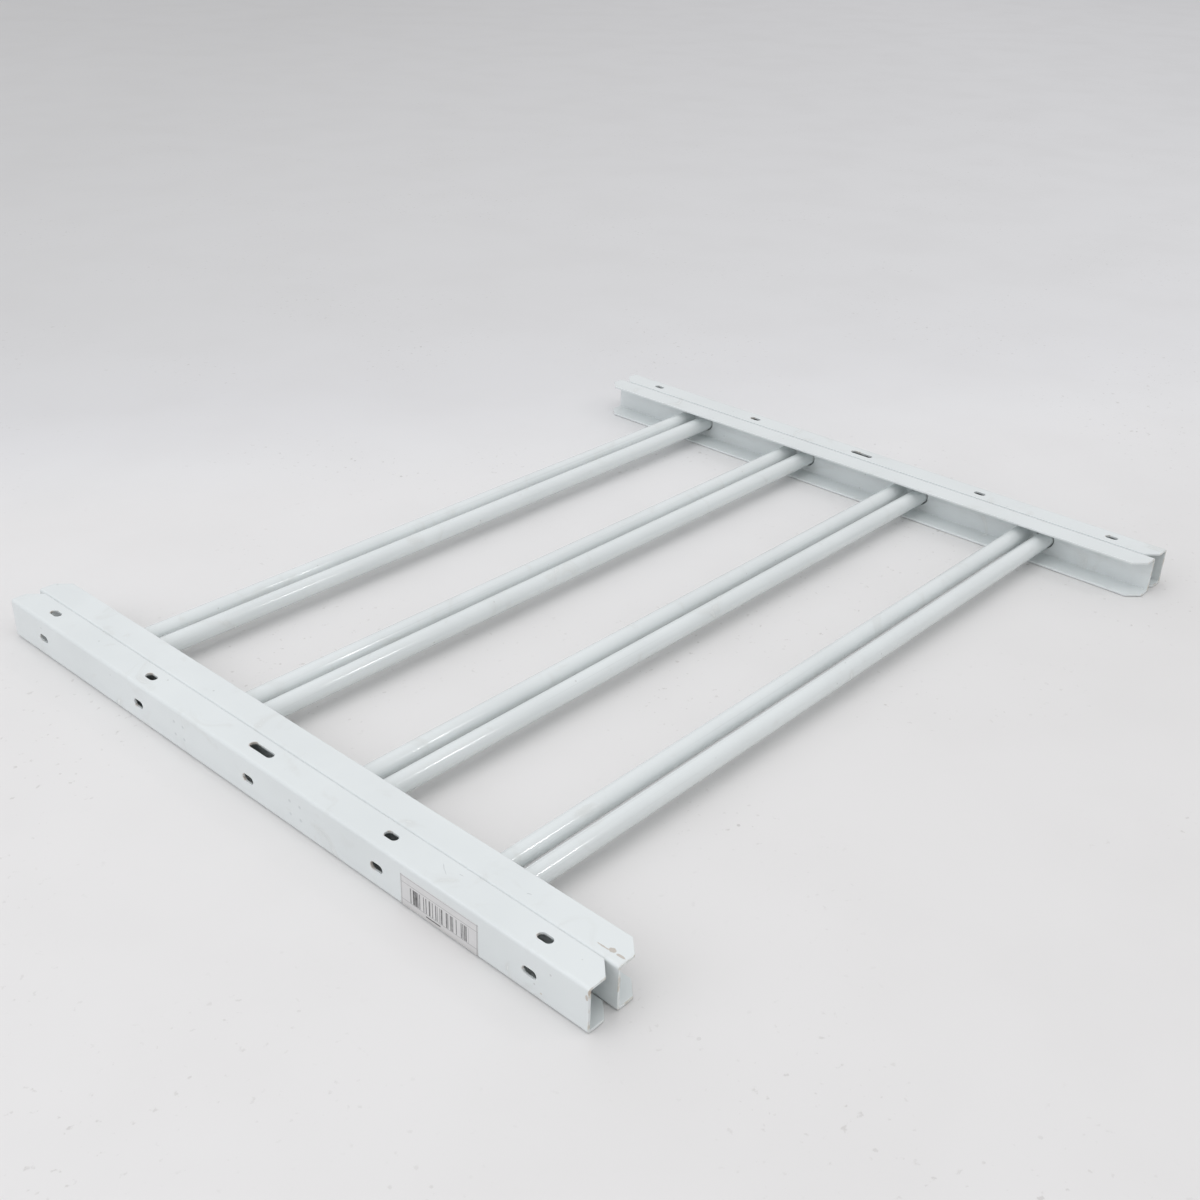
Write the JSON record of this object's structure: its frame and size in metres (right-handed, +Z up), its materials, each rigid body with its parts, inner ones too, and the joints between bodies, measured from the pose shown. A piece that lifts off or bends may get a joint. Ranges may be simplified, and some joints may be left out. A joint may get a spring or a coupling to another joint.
{
  "type": "window guard",
  "caption": "Telescoping window guard in white painted steel: solid bars slide beside tubes between slotted side channels, so its width adjusts.",
  "frame": {"origin": "middle of the closed guard's outline, on the plane that it rests on", "axes": "+X along the bars towards the half with the tubes, +Y along the side channels, +Z up through the guard's thickness"},
  "size_m": [0.578, 0.4762, 0.0254],
  "materials": {
    "painted_steel": "gloss white powder coat",
    "label": "plain printed paper"
  },
  "bodies": {
    "left_half": {"left_outer_channel": "painted_steel", "right_inner_channel": "painted_steel", "solid_rod_1": "painted_steel", "solid_rod_2": "painted_steel", "solid_rod_3": "painted_steel", "solid_rod_4": "painted_steel", "paper_label": "label"},
    "right_half": {"right_outer_channel": "painted_steel", "left_inner_channel": "painted_steel", "tube_1": "painted_steel", "tube_2": "painted_steel", "tube_3": "painted_steel", "tube_4": "painted_steel"}
  },
  "joints": [
    {"name": "width_slide", "type": "slide", "parent": "left_half", "child": "right_half", "axis": [1, 0, 0], "range_m": [0, 0.4]}
  ]
}
